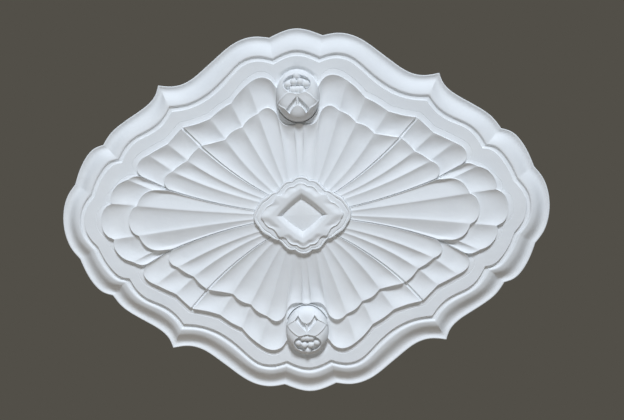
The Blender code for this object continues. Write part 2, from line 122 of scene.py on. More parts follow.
# Plaque lines: one point for each rail of the plaque
PLAQUE_EDGE = (
    (0, 77.5, "r"), (10, 75.5, ""), (17.7, 69.2, "rc"), (25, 69.5, ""), (34, 65.5, "r"),
    (42.2, 56, ""), (49.1, 48.6, "rc"), (57.5, 46.5, ""), (65.8, 41.2, "rc"), (75, 36, ""),
    (83, 29.5, "r"), (88.4, 20.6, "rc"), (94, 13, ""), (97.5, 0, "r"),
)
BAND_INNER = (
    (0, 66, "r"), (8, 64, ""), (14, 59.5, "rc"), (24, 58, ""), (31, 52, "r"), (36, 45, ""),
    (42, 41.5, "rc"), (48, 41.5, ""), (52, 36.5, "rc"), (59, 26.5, ""), (70, 20.5, "r"),
    (77, 12.5, "rc"), (80, 6, ""), (83, 0, "r"),
)
PLAQUE_STEPS = (12, 12, 14, 14, 14, 12, 12)
# Swell of the ruffle at each rail of the plaque: 0 in a hollow, 1 on a knot
RUFFLE_SWELL = (0.5, 0, 0, 0.9, 1, 0, 0.3, 1)

# Columns crowd towards the rails, where the ridges and cusps are: 0 spaces them evenly
CROWDING = 0.65

# Moulding, from the field's edge outwards: shares of its width, and depths. Its four runs are the sunk
# line, the bead, the ogee and the lip.
MOULDING_WIDTH = 54
MOULDING_RUNS = (
    ((1.02, 28.0), (1.0, 27.9), (0.988, 26.8), (0.978, 24.4), (0.968, 22.9), (0.95, 22.5), (0.86, 22.4)),
    ((0.86, 22.4), (0.842, 22.6), (0.825, 23.5), (0.805, 25.0), (0.78, 25.7), (0.74, 25.6), (0.70, 25.0)),
    ((0.70, 25.0), (0.63, 23.7), (0.55, 21.4), (0.46, 17.6), (0.38, 13.9), (0.30, 10.8), (0.23, 9.1),
     (0.17, 8.6)),
    ((0.17, 8.6), (0.12, 9.0), (0.06, 10.2), (0.025, 10.7), (0.01, 10.4)),
)
MOULDING_STEPS = 2
EDGE_PROFILE = ((0.003, 10.0), (0, 9.0), (0, 5.0), (0, 1.2), (0.012, 0.25))
# Back: rings as shares of the way in, its mean depth below level, its dips and its middle
BACK_INSETS = (0.01, 0.04, 0.12, 0.3, 0.55, 0.8)
BACK_SINK, BACK_DIP, BACK_MIDDLE = 0.5, 0.4, 0.6

# Rings across the tiers, the skirt outside them and the field, as shares of their widths.
# The field has more rings where the hollows round the buds' tips are.
INNER_FALL_RINGS, INNER_RISE_RINGS = 14, 11
OUTER_FALL_RINGS, OUTER_RISE_RINGS = 8, 11
SKIRT_RINGS = (0, 0.15, 0.35, 0.55, 0.75, 0.9)
FIELD_RINGS = (0.14, 0.32, 0.42, 0.46, 0.5, 0.54, 0.58, 0.62, 0.66, 0.7, 0.74, 0.85, 0.95)
# Thin line cut round the foot of the skirt: distance out and how deep
QUIRK = ((0, 0), (0.5, 0.45), (1.1, 0.5), (1.6, 0))
# Rounded edge of a tier, as distance out and drop, then the wall's foot, as distance out and share
RIM_EDGE = ((0.4, -0.15), (0.8, 0.0), (1.1, 0.5), (1.35, 1.5))
RIM_WALL_FOOT = ((1.75, 0.6), (2.0, 0.88))

# Rounding of the ridges, which is greater on the faint ridge below the niche of each bud.
# Ridges are crisp at a rim, where they have lost this share of their rounding.
RIDGE_WEAR, NICHE_WEAR = 0.8, 3.2
WEAR_LOST = 0.75
# Stem below each bud: height of its two raised lines, how wide they are and how much of them the
# scoop takes, and the boss at its top
STEM_LINE, STEM_LINE_WIDTH, STEM_LINE_LOST = 1.3, 1.2, 0.6
STEM_BOSS, STEM_BOSS_PLACE, STEM_BOSS_HALF = 3.2, 181, (6.5, 3.8)
# The plaster under the plaque: share of the foot's line, and depth
CORE_SHARE, CORE_DEPTH = 0.9, 38.0

# A casting from a flexible mould is never quite true: swell of its face, and sideways drift
WAVINESS, DRIFT = 0.22, 0.35

# Plaque: swell of the sunk floor, bow of its sides, the roll round it, scoops of the ruffle, the
# ruffle's lip, and the step down to the flat band
FLOOR_SWELL = 2.2
SEAT_BOW = 0.05
RIM_ROUNDNESS = 1.15
ROLL_RISE = 0.7
SCOOP_DEPTH = 3.4
RUFFLE_LIP = 0.9
RUFFLE_STEP, RUFFLE_GAP = 2.6, 1.3
FLOOR_RINGS = (0.04, 0.2, 0.4, 0.6, 0.75, 0.87, 0.95, 1.0)
ROLL_RINGS = (0.04, 0.12, 0.22, 0.34, 0.47, 0.6, 0.73, 0.86, 1.0)
RUFFLE_RINGS = 16
# Across the band: share of its width and how far below its top
BAND_PROFILE = ((0, 0), (0.2, 0), (0.45, 0), (0.54, 0.1), (0.6, 1.3), (0.68, 1.3), (0.74, 0.0),
                (0.8, -0.3), (0.9, -0.3), (0.96, 0.0), (1, 0.8))
# The plaque's side: distance out from its edge, and depth
PLAQUE_SIDE = ((0.25, 49.3), (0.7, 46.5), (1.3, 41.0), (1.5, PLAQUE_ROOT_DEPTH))

# Bud: an egg on the short axis, whose outer tip sinks by a share of its height
BUD_MIDDLE = 238.0
BUD_HALF = np.array([44.0, 52.0])
BUD_BASE, BUD_HEIGHT, BUD_LIMIT = 27.0, 29.5, 59.0
BUD_FLATNESS, BUD_ROUNDNESS, BUD_TIP_FALL = 2.6, 0.42, 0.6
BUD_COLUMNS, BUD_RINGS = 220, 80
# Where the sepals, the inner petals and the mouth lie along the bud, and their sizes across it
SEPAL_TOP, SEPAL_NOTCH, SEPAL_NOTCH_OUT, SEPAL_FLANK, SEPAL_RISE = 220.0, 203.5, 16.5, 26.5, 26.5
SEPAL_STEP, SEPAL_EDGE, SEPAL_CREASE, SEPAL_POWER, SEPAL_SWAY = 1.4, 2.4, 1.2, 2.1, 1.8
PETAL_MEET, PETAL_MIDDLE, PETAL_CREST, PETAL_CREST_OUT, PETAL_FOOT = 239.5, 241.0, 4.2, 17, 235.5
PETAL_STEP, PETAL_CURL, PETAL_SEAM = 1.4, 1.8, 0.8
# Fall and power of a petal's shoulder, and slope and bend of its lower edge
SHOULDER_FALL, SHOULDER_POWER, FOOT_SLOPE, FOOT_BEND = 0.33, 1.3, 1.05, 0.006
# The gap below the petals: depth, slope, reach to each side, and the seam that parts its halves
GAP_DEPTH, GAP_SLOPE, GAP_REACH, SEAM_HALF_WIDTH = 5.0, 0.8, 24, 1.2
MOUTH_MIDDLE, MOUTH_HALF, MOUTH_RADIUS, MOUTH_DEPTH, MOUTH_LIP = 261.0, (28, 19.5), 20, 9.5, 1.6
# Collar round the inner side of a bud: share of the egg, and depth
BUD_COLLAR = ((1.0, 27), (1.015, 29), (1.03, 34.5), (1.042, 36.6), (1.055, 36.0), (1.065, 27))
COLLAR_ROOT = 22
# Hollow in the field round a bud's outer tip: depth, its line and half width as shares of the egg,
# and the place along the bud where it begins
TIP_HOLLOW, TIP_HOLLOW_LINE, TIP_HOLLOW_HALF, TIP_HOLLOW_START = 5.0, 1.05, 0.06, 262
# Stamens in the mouth: distance from the axis, distance from the middle of the rose, radius, lift
STAMENS = ((8, 249, 8.0, 0.2), (0, 249, 8.0, 0.4), (18.5, 260, 7.6, 0.4), (6.6, 264.5, 7.6, 1.2),
           (0, 277, 7.8, 2.4))

# Finishes, in metres: spacing of the hessian's threads and of the scored keys. A wave's period is
# WAVE_PERIOD divided by its scale.
GYPSUM_IOR = 1.52
WAVE_PERIOD = 0.314
THREAD_SPACING, KEY_SPACING = 0.005, 0.045

# Studio, in metres: floor, and the camera with the lens that the photograph's perspective gives
FLOOR, FLOOR_HALF = -2.45, 2.2
PICTURE_WIDTH, FOCAL_PIXELS, SENSOR = 624, 779.01, 36
CAMERA_PLACE = (-0.08652923, 0.14650278, -1.6)
CAMERA_RIGHT = Vector((-0.99836794, -0.04146442, 0.03927029))
CAMERA_UP = Vector((-0.03782459, 0.9952878, 0.08928323))
CAMERA_AHEAD = Vector((0.04278731, -0.08765211, 0.99523181))
KEY_SLANT = math.radians(53)


# Plan lines and columns
def smooth_run(points, steps=SPLINE_STEPS):
    """Dense points of a natural cubic spline, with a set number of steps from each point to the next."""
    p = np.array(points, float)
    chord = np.linalg.norm(np.diff(p, axis=0), axis=1)
    size = len(p)
    lhs = np.eye(size)
    rhs = np.zeros((size, 2))
    for i in range(1, size - 1):
        lhs[i, i - 1:i + 2] = chord[i - 1], 2 * (chord[i - 1] + chord[i]), chord[i]
        rhs[i] = 6 * ((p[i + 1] - p[i]) / chord[i] - (p[i] - p[i - 1]) / chord[i - 1])
    bend = np.linalg.solve(lhs, rhs)
    right = np.linspace(0, 1, steps, endpoint=False)[:, None]
    left = 1 - right
    dense = []
    for i in range(size - 1):
        cubic = (left ** 3 - left) * bend[i] + (right ** 3 - right) * bend[i + 1]
        dense.append(left * p[i] + right * p[i + 1] + cubic * chord[i] ** 2 / 6)
    return np.concatenate(dense)


def trace(line):
    """Dense points of one plan line, the length at each of them and at each rail."""
    points = [np.array(entry[:2], float) for entry in line]
    last = len(points) - 1
    breaks = [0] + [i for i in range(1, last) if "c" in line[i][2]] + [last]
    dense = []
    for start, end in zip(breaks, breaks[1:]):
        run = points[start:end + 1]
        skip = 0
        if start == 0:
            run = [p * (-1, 1) for p in run[:0:-1]] + run
            skip = (end - start) * SPLINE_STEPS
        if end == last:
            run = run + [p * (1, -1) for p in points[start:end][::-1]]
        dense.append(smooth_run(run)[skip:skip + (end - start) * SPLINE_STEPS])
    dense.append(points[-1:])
    dense = np.concatenate(dense)
    length = np.concatenate([[0], np.cumsum(np.linalg.norm(np.diff(dense, axis=0), axis=1))])
    rails = [length[i * SPLINE_STEPS] for i in range(last + 1) if "r" in line[i][2]]
    return dense, length, rails


def column_places(rail_steps, grooved=()):
    """Where each column runs: its rail, its share of the way to the next, and its side of a groove."""
    places = []
    for rail, steps in enumerate(rail_steps):
        places.append((rail, 0.0, 0))
        first = 0 if rail in grooved else 1
        end = steps + 1 if rail + 1 in grooved else steps
        for i in range(first, end):
            even = i / steps
            crowded = (1 - math.cos(math.pi * even)) / 2
            places.append((rail, (1 - CROWDING) * even + CROWDING * crowded, 1))
    places.append((len(rail_steps), 0.0, 0))
    return places


def lay_columns(line, places, grooved=(), half_width=0.0):
    """Plan points where the columns cross a line, and how far along the line each one is."""
    dense, length, rails = trace(line)
    along = []
    for rail, share, side in places:
        start = rails[rail]
        end = rails[min(rail + 1, len(rails) - 1)]
        if side and rail in grooved:
            start += half_width
        if side and rail + 1 in grooved:
            end -= half_width
        along.append(start + share * (end - start))
    along = np.array(along)
    return np.stack([np.interp(along, length, dense[:, axis]) for axis in (0, 1)], axis=-1), along


def at_columns(rail_values, places):
    """Values given for the rails, worked out for every column."""
    where = [rail + share for rail, share, side in places]
    return np.interp(where, range(len(rail_values)), rail_values)


def towards(xy, target, distance):
    """Plan points moved a set distance along their columns towards the next line."""
    way = target - xy
    return xy + way * (distance / np.linalg.norm(way, axis=1, keepdims=True))


def soft_step(value, width=1.0):
    """0 below zero, 1 above the width, and a smooth rise between."""
    share = np.clip(value / width, 0, 1)
    return share * share * (3 - 2 * share)


# Flutes
def flute_hollows(along, ridges, places):
    """How far each column lies below the ridges on either side of its flute."""
    ridge_at = [distance for place, distance in zip(places, along)
                if place[0] in ridges and place[2] == 0]
    marks = np.array([-ridge_at[0]] + ridge_at + [2 * along[-1] - ridge_at[-1]])
    flute = np.clip(np.searchsorted(marks, along, side="right") - 1, 0, len(marks) - 2)
    width = marks[flute + 1] - marks[flute]
    across = 2 * (along - marks[flute]) / width - 1
    depth = FLUTE_DEPTH * np.minimum(1, width / FLUTE_WIDTH)
    return depth * (1 - np.abs(across) ** FLUTE_POWER)


def tier_rings(root, rim, hollows, groove, wear, lift, depths, scoop, fall, root_hollow, bend,
               ring_places):
    """Rings of one tier of flutes, from its root over the dip and up the scoops to its rim.

    The ridges are worn round in the middle of the fan and crisp near the rim.
    """
    root_depth, dip_depth, rim_depth = depths
    span = rim - root
    reach = np.linalg.norm(span, axis=1)
    side = np.stack([span[:, 1], -span[:, 0]], axis=-1) / reach[:, None]
    curve = scoop / reach
    rings = []
    for place in ring_places:
        climb = max(place - 1, 0)
        run = min(place, 1)
        along = (run * (1 - curve) + climb * curve)[:, None]
        xy = root + span * along + side * bend[:, None] * 4 * along * (1 - along)
        fallen = 1 - (1 - run) ** fall
        risen = climb ** SCOOP_POWER
        crest = root_depth + (dip_depth - root_depth) * fallen + (rim_depth - dip_depth) * risen
        hollow = hollows * (root_hollow + (1 - root_hollow) * run)
        worn = wear * (1 - WEAR_LOST * place / 2)
        hollow = (np.sqrt(hollow ** 2 + worn ** 2) - worn) * (1 - risen)
        raised = lift * run ** 2 * (1 - STEM_LINE_LOST * risen)
        rings.append((xy, crest - hollow + raised - groove * (1 + run) / 2))
    return rings


def rim_rings(rim, target, top, foot):
    """The rounded edge of a tier and the steep wall outside it, down to the depth of its foot."""
    rings = [(towards(rim, target, out), top - drop) for out, drop in RIM_EDGE]
    wall = rings[-1][1] - foot
    rings += [(towards(rim, target, out), foot + wall * (1 - share)) for out, share in RIM_WALL_FOOT]
    return rings


def tier_places(fall_rings, rise_rings):
    """Places of a tier's rings: 0 at its root, 1 where the scoop starts, 2 on the rim."""
    return list(np.linspace(0, 1, fall_rings)) + list(1 + np.linspace(0, 1, rise_rings)[1:])


def body_rings():
    """Rings of the rose in one quarter, from the plaque's foot to the back edge."""
    places = column_places(RAIL_STEPS, GROOVED_RAILS)
    foot = lay_columns(PLAQUE_FOOT, places, GROOVED_RAILS, DIVIDER_ROOT_HALF_WIDTH)[0]
    inner_rim, inner_along = lay_columns(INNER_RIM, places, GROOVED_RAILS, DIVIDER_HALF_WIDTH)
    outer_rim, outer_along = lay_columns(OUTER_RIM, places, GROOVED_RAILS, DIVIDER_HALF_WIDTH)
    field_edge = lay_columns(FIELD_EDGE, places, GROOVED_RAILS, DIVIDER_HALF_WIDTH)[0]
    outline = lay_columns(OUTLINE, places, GROOVED_RAILS, DIVIDER_HALF_WIDTH)[0]
    groove = DIVIDER_DEPTH * np.array([rail in GROOVED_RAILS and side == 0 for rail, share, side in places])
    bend = at_columns(RAIL_BEND, places)
    flat = np.zeros(len(places))

    wear = np.full(len(RAIL_STEPS) + 1, RIDGE_WEAR)
    wear[NICHE] = NICHE_WEAR
    stem_at = inner_along[places.index((STEM, 0.0, 0))]
    stem_line = STEM_LINE * np.exp(-((inner_along - stem_at) / STEM_LINE_WIDTH) ** 2)

    inner_depths = (INNER_ROOT_DEPTH, INNER_DIP_DEPTH, INNER_RIM_DEPTH)
    hollows = flute_hollows(inner_along, INNER_RIDGES, places)
    rings = tier_rings(foot, inner_rim, hollows, groove, at_columns(wear, places), stem_line,
                       inner_depths, INNER_SCOOP, INNER_FALL, INNER_ROOT_HOLLOW, bend,
                       tier_places(INNER_FALL_RINGS, INNER_RISE_RINGS))

    outer_root = towards(inner_rim, outer_rim, RIM_WALL)
    hollows = flute_hollows(outer_along, OUTER_RIDGES, places)
    rings += rim_rings(inner_rim, outer_rim, INNER_RIM_DEPTH - groove,
                       OUTER_ROOT_DEPTH - hollows * OUTER_ROOT_HOLLOW - groove)
    outer_depths = (OUTER_ROOT_DEPTH, OUTER_DIP_DEPTH, OUTER_RIM_DEPTH)
    rings += tier_rings(outer_root, outer_rim, hollows, groove, flat + RIDGE_WEAR, flat, outer_depths,
                        OUTER_SCOOP, 1, OUTER_ROOT_HOLLOW, flat,
                        tier_places(OUTER_FALL_RINGS, OUTER_RISE_RINGS))

    rings += rim_rings(outer_rim, field_edge, OUTER_RIM_DEPTH - groove, flat + SKIRT_DEPTH)
    skirt_start = towards(outer_rim, field_edge, RIM_WALL)
    for share in SKIRT_RINGS:
        depth = SKIRT_DEPTH + (FIELD_DEPTH - SKIRT_DEPTH) * share ** 0.8
        rings.append((towards(skirt_start, field_edge, SKIRT_WIDTH * share), flat + depth))
    for out, sink in QUIRK:
        rings.append((towards(skirt_start, field_edge, SKIRT_WIDTH + out), flat + FIELD_DEPTH - sink))
    field_start = towards(skirt_start, field_edge, SKIRT_WIDTH + QUIRK[-1][0])
    for share in FIELD_RINGS:
        rings.append((field_start + (field_edge - field_start) * share, flat + FIELD_DEPTH))
    across = field_edge - outline
    profile = moulding_profile() + list(EDGE_PROFILE)
    rings += [(outline + across * share, flat + depth) for share, depth in profile]
    return rings


def moulding_profile():
    """Shares of the moulding's width and depths, from the field's edge out to the lip."""
    points = []
    for run in MOULDING_RUNS:
        stretched = [(share * MOULDING_WIDTH, depth) for share, depth in run]
        dense = smooth_run(stretched, MOULDING_STEPS)
        points += [(out / MOULDING_WIDTH, depth) for out, depth in dense]
    return points


def around(rings):
    """Mirrors the rings of a quarter to the whole rose: an array of rings, columns and x, y, depth."""
    quarter = np.array([np.concatenate([xy, depth[:, None]], axis=1) for xy, depth in rings])
    back_down = quarter[:, -2::-1] * (1, -1, 1)
    up = quarter[:, 1:] * (-1, -1, 1)
    return np.concatenate([quarter, back_down, up, (quarter * (-1, 1, 1))[:, -2:0:-1]], axis=1)


# Making meshes
def settle(points):
    """Adds the casting's waviness, then turns millimetres to metres with the face downwards.

    The waves are long and out of step with each other, and die out towards the edge and the back.
    """
    x, y, depth = points[:, 0], points[:, 1], points[:, 2].copy()
    long_wave = np.sin(x / 41 + 0.6) * np.sin(y / 57 + 1.1)
    short_wave = np.sin((x + y) / 23) * np.sin((x - y) / 31 + 2)
    depth += WAVINESS * (long_wave + 0.6 * short_wave) * soft_step(depth, 12)
    shift = DRIFT * np.stack([np.sin(y / 47 + 0.8), np.sin(x / 53 - 0.4)], axis=1)
    plan = (points[:, :2] + shift * soft_step(depth - 10, 6)[:, None]) * STRETCH
    return np.concatenate([plan, -depth[:, None] * MILLIMETRE], axis=1)


def make_piece(name, points, faces, material, crease_angle=30):
    """One visible piece, smooth but for its creases, in the place of the solid it dresses."""
    data = bpy.data.meshes.new(name)
    data.from_pydata(points.tolist(), [], faces)
    data.polygons.foreach_set("use_smooth", [True] * len(data.polygons))
    data.set_sharp_from_angle(angle=math.radians(crease_angle))
    piece = bpy.data.objects.new(name, data)
    bpy.context.scene.collection.objects.link(piece)
    data.materials.append(material)
    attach(piece, "root")
    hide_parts("ceiling_rose")
    return piece


def ring_faces(rows, columns):
    """Faces between rings that close on themselves, wound to face down on the carved side."""
    faces = []
    for i in range(rows - 1):
        near = i * columns
        far = near + columns
        for j in range(columns):
            k = (j + 1) % columns
            faces.append((near + j, far + j, far + k, near + k))
    return faces


def set_buds_in(front):
    """Sinks the field round each bud's outer tip, and raises a round boss at the top of each stem."""
    across, along = front[..., 0], np.abs(front[..., 1])
    egg = np.sqrt((across / BUD_HALF[0]) ** 2 + ((along - BUD_MIDDLE) / BUD_HALF[1]) ** 2)
    sunk = TIP_HOLLOW * np.exp(-((egg - TIP_HOLLOW_LINE) / TIP_HOLLOW_HALF) ** 2)
    sunk *= soft_step(along - TIP_HOLLOW_START, 14)
    # The hollow keeps clear of the moulding's sunk line, above 24 mm, and of the fans' rim, at 36 mm
    sunk *= soft_step(front[..., 2] - 24, 3) * soft_step(36 - front[..., 2], 2)
    front[..., 2] -= sunk
    boss = (across / STEM_BOSS_HALF[0]) ** 2 + ((along - STEM_BOSS_PLACE) / STEM_BOSS_HALF[1]) ** 2
    front[..., 2] += STEM_BOSS * np.exp(-boss)


def back_rings(edge):
    """Rings of the back, which is level but for the faint dips that the straightedge left."""
    rings = []
    for inset in BACK_INSETS:
        ring = edge * (1 - inset, 1 - inset, 0)
        ring[:, 2] = BACK_SINK + BACK_DIP * np.sin(ring[:, 0] / 60 + 1) * np.sin(ring[:, 1] / 45)
        ring[:, 2] *= soft_step(inset, 0.12)
        rings.append(ring)
    return rings


def rose_body():
    """Fans, field and moulding, with the back that was struck off level while the plaster was wet."""
    rings = body_rings()
    core = (rings[0][0] * CORE_SHARE, np.full(len(rings[0][1]), CORE_DEPTH))
    front = around([core] + rings)
    set_buds_in(front)
    columns = front.shape[1]
    back = back_rings(front[-1])
    points = settle(np.concatenate([front, back]).reshape(-1, 3))
    rows = len(front) + len(back)
    faces = ring_faces(rows, columns)
    middle = len(points)
    points = np.vstack([points, (0, 0, -BACK_MIDDLE * MILLIMETRE)])
    last = middle - columns
    faces += [(last + j, middle, last + (j + 1) % columns) for j in range(columns)]
    body = make_piece("rose_body", points, faces, CAST_PLASTER)
    body.data.materials.append(STRUCK_BACK)
    backs = [0] * ((len(front) - 1) * columns) + [1] * (len(faces) - (len(front) - 1) * columns)
    body.data.polygons.foreach_set("material_index", backs)
    return body


# Plaque
def plaque_rings():
    """Rings of the plaque in one quarter, from the middle of the sunk lozenge to the foot."""
    places = column_places(PLAQUE_STEPS)
    edge = lay_columns(PLAQUE_EDGE, places)[0]
    band = lay_columns(BAND_INNER, places)[0]
    side = at_columns(np.linspace(0, 1, len(PLAQUE_STEPS) + 1), places)
    corner = np.stack([side, 1 - side], axis=-1)
    bow = 1 + SEAT_BOW * np.sin(side * math.pi)[:, None]
    seat = corner * SEAT_CORNERS * bow
    rounding = np.sum(corner ** RIM_ROUNDNESS, axis=1, keepdims=True) ** (-1 / RIM_ROUNDNESS)
    seat_rim = corner * SEAT_RIM_CORNERS * rounding
    flat = np.zeros(len(places))
    rings = []
    for share in FLOOR_RINGS:
        rings.append((seat * share, flat + SEAT_DEPTH + FLOOR_SWELL * (1 - share ** 2)))
    for out in ROLL_RINGS:
        depth = SEAT_DEPTH + (SEAT_RIM_DEPTH - SEAT_DEPTH) * math.sin(math.pi / 2 * out)
        rings.append((seat * (1 - out) + seat_rim * out, flat + depth))
    ruffle = towards(band, seat_rim, RUFFLE_GAP)
    swell = soft_step(at_columns(RUFFLE_SWELL, places))
    for share in np.linspace(0, 1, RUFFLE_RINGS + 1)[1:]:
        roll = SEAT_RIM_DEPTH + ROLL_RISE * math.sin(math.pi * share)
        scoop = SCOOP_DEPTH * (1 - swell) * soft_step(share - 0.25, 0.55)
        lip = RUFFLE_LIP * soft_step(share - 0.8, 0.2)
        rings.append((seat_rim + (ruffle - seat_rim) * share, roll - scoop + lip * (1 - swell)))
    top = np.maximum(rings[-1][1], BAND_DEPTH + RUFFLE_STEP)
    rings[-1] = (rings[-1][0], top)
    rings.append((towards(ruffle, band, 0.4), top - 0.2))
    rings.append((towards(ruffle, band, 0.75), top - 0.9))
    rings.append((towards(ruffle, band, 1.1), BAND_DEPTH + (top - BAND_DEPTH) * 0.2))
    for share, sink in BAND_PROFILE:
        rings.append((band + (edge - band) * share, flat + BAND_DEPTH - sink))
    out = edge / np.linalg.norm(edge, axis=1, keepdims=True)
    rings += [(edge + out * distance, flat + depth) for distance, depth in PLAQUE_SIDE]
    return rings


def plaque():
    """The lozenge plaque in the middle, with a sunk seat for the lamp's ceiling cup."""
    rings = around(plaque_rings())
    rows, columns = rings.shape[:2]
    points = np.vstack([rings.reshape(-1, 3), (0, 0, SEAT_DEPTH + FLOOR_SWELL)])
    faces = ring_faces(rows, columns)
    faces += [(rows * columns, j, (j + 1) % columns) for j in range(columns)]
    return make_piece("lozenge_plaque", settle(points), faces, CAST_PLASTER)


# Buds
def bud_dome(across, along):
    """Depth of a bud's round body, without its leaves."""
    egg = (across / BUD_HALF[0]) ** 2 + ((along - BUD_MIDDLE) / BUD_HALF[1]) ** 2
    tip_fall = 1 - BUD_TIP_FALL * np.clip((along - BUD_MIDDLE) / BUD_HALF[1], 0, 1) ** 2
    return BUD_BASE + BUD_HEIGHT * np.clip(1 - egg ** BUD_FLATNESS, 0, 1) ** BUD_ROUNDNESS * tip_fall


def edge_curl(distance, reach):
    """1 on an edge, dying away on both sides of it."""
    return np.exp(-np.abs(distance) / reach)


def open_mouth(across, along, dome):
    """The dome with outer petals that curl up round the open mouth, and a gap below the inner petals."""
    mouth = 1 - np.sqrt((across / MOUTH_HALF[0]) ** 2 + ((along - MOUTH_MIDDLE) / MOUTH_HALF[1]) ** 2)
    depth = dome + MOUTH_LIP * edge_curl(mouth * MOUTH_RADIUS, 3)
    depth -= MOUTH_DEPTH * soft_step(mouth * MOUTH_RADIUS, 2.2)
    gap = soft_step(PETAL_MEET - along - across * GAP_SLOPE, 2) * soft_step(GAP_REACH - across, 5)
    return depth - GAP_DEPTH * gap * soft_step(across - SEAM_HALF_WIDTH, 2)


def lay_petals(across, along, dome, depth):
    """Lays the two inner petals over the depth: they lean on the outer ones and curl at their top."""
    crest = PETAL_MIDDLE + PETAL_CREST * np.sin(across / PETAL_CREST_OUT * math.pi / 2)
    past_crest = np.clip(across - PETAL_CREST_OUT, 0, None)
    shoulder = PETAL_MIDDLE + PETAL_CREST - past_crest ** SHOULDER_POWER * SHOULDER_FALL
    upper = np.where(across < PETAL_CREST_OUT, crest, shoulder)
    lower = PETAL_FOOT - (across - 1) * FOOT_SLOPE - FOOT_BEND * (across - 10) ** 2
    inside = soft_step(upper - along, 1.5) * soft_step(along - lower, 1.5) * soft_step(across - 0.3, 1.2)
    petal = dome + PETAL_STEP + PETAL_CURL * edge_curl(upper - along, 3)
    petal -= PETAL_SEAM * edge_curl(across - 1, 3)
    return depth * (1 - inside) + petal * inside


def lay_sepals(across, along, dome, depth):
    """Lays the three sepals over the depth: thickest at their pointed upper edges."""
    middle_share = np.clip(across, 0, SEPAL_NOTCH_OUT) / SEPAL_NOTCH_OUT
    middle = SEPAL_TOP - (SEPAL_TOP - SEPAL_NOTCH) * middle_share ** SEPAL_POWER
    turn = np.clip((across - SEPAL_NOTCH_OUT) / SEPAL_FLANK, 0, 1.2)
    flank = SEPAL_NOTCH + SEPAL_RISE * turn + SEPAL_SWAY * np.sin(2 * math.pi * turn)
    top = np.where(across < SEPAL_NOTCH_OUT, middle, flank)
    on = soft_step(top - along, 1.4)
    below = SEPAL_NOTCH - along
    crease = SEPAL_CREASE * edge_curl(across - SEPAL_NOTCH_OUT - below * 0.25, 1.5)
    crease *= soft_step(below + 0.5, 3) * soft_step(20 - below, 12)
    sepal = dome + SEPAL_STEP + SEPAL_EDGE * edge_curl(top - along, 5) - crease
    return depth * (1 - on) + sepal * on


def bud_depth(across, along):
    """Depth of a bud: three sepals at its foot, two inner petals, two outer ones, and the open mouth."""
    dome = bud_dome(across, along)
    depth = open_mouth(across, along, dome)
    depth = lay_petals(across, along, dome, depth)
    return lay_sepals(across, along, dome, depth)


def stamen_caps(across, along):
    """Depth of the round stamen heads in the mouth, or nothing where there is none."""
    best = np.zeros_like(across)
    for x, y, radius, lift in STAMENS:
        near = np.sqrt((np.abs(across) - x) ** 2 + (along - y) ** 2)
        crown = bud_dome(np.array(float(x)), np.array(float(y))) + lift
        cap = crown - radius + np.sqrt(np.clip(radius ** 2 - near ** 2, 0, None))
        best = np.maximum(best, np.where(near < radius, cap, 0))
    return best


def bud(name, end):
    """One bud over the end of the short axis that end gives, as 1 or -1."""
    turns = np.linspace(0, 2 * math.pi, BUD_COLUMNS, endpoint=False)[::-1]
    ray = np.stack([np.cos(turns), np.sin(turns)], axis=-1) * BUD_HALF
    rings = []
    for i in range(1, BUD_RINGS + 1):
        share = math.sin(math.pi / 2 * (i / BUD_RINGS) ** 0.85)
        xy = ray * share + (0, BUD_MIDDLE)
        across = np.abs(xy[:, 0])
        depth = np.maximum(bud_depth(across, xy[:, 1]), stamen_caps(xy[:, 0], xy[:, 1]))
        rings.append(np.concatenate([xy, np.minimum(depth, BUD_LIMIT)[:, None]], axis=1))
    # The collar fades out towards the bud's outer side
    towards_plaque = soft_step(-np.sin(turns) - 0.18, 0.4)
    for share, collar in BUD_COLLAR:
        xy = ray * share + (0, BUD_MIDDLE)
        depth = COLLAR_ROOT + (collar - COLLAR_ROOT) * towards_plaque
        rings.append(np.concatenate([xy, depth[:, None]], axis=1))
    rings = np.array(rings) * (1, end, 1)
    rows, columns = rings.shape[:2]
    centre = float(bud_depth(np.array(0.0), np.array(BUD_MIDDLE)))
    points = np.vstack([rings.reshape(-1, 3), (0, BUD_MIDDLE * end, centre)])
    faces = ring_faces(rows, columns)
    faces += [(rows * columns, j, (j + 1) % columns) for j in range(columns)]
    if end < 0:
        faces = [face[::-1] for face in faces]
    return make_piece(name, settle(points), faces, CAST_PLASTER, 40)


# Materials
def colour(code):
    """An sRGB hex value as linear red, green, blue and alpha."""
    parts = [int(code[i:i + 2], 16) / 255 for i in (0, 2, 4)]
    return (*[c / 12.92 if c <= 0.04045 else ((c + 0.055) / 1.055) ** 2.4 for c in parts], 1)


def add(tree, kind, inputs=None, **settings):
    """Adds a node with its settings; an input is a value, or the output that feeds it."""
    made = tree.nodes.new(kind)
    for name, value in settings.items():
        setattr(made, name, value)
    for name, value in (inputs or {}).items():
        if isinstance(value, bpy.types.NodeSocket):
            tree.links.new(value, made.inputs[name])
        else:
            made.inputs[name].default_value = value
    return made


def new_plaster(name):
    """A plaster's material: its nodes, its shader and the place on the object that patterns follow."""
    material = bpy.data.materials.new(name)
    material.use_nodes = True
    tree = material.node_tree
    shader = tree.nodes["Principled BSDF"]
    shader.inputs["IOR"].default_value = GYPSUM_IOR
    shader.inputs["Metallic"].default_value = 0
    return material, tree, shader, add(tree, "ShaderNodeTexCoord").outputs["Object"]


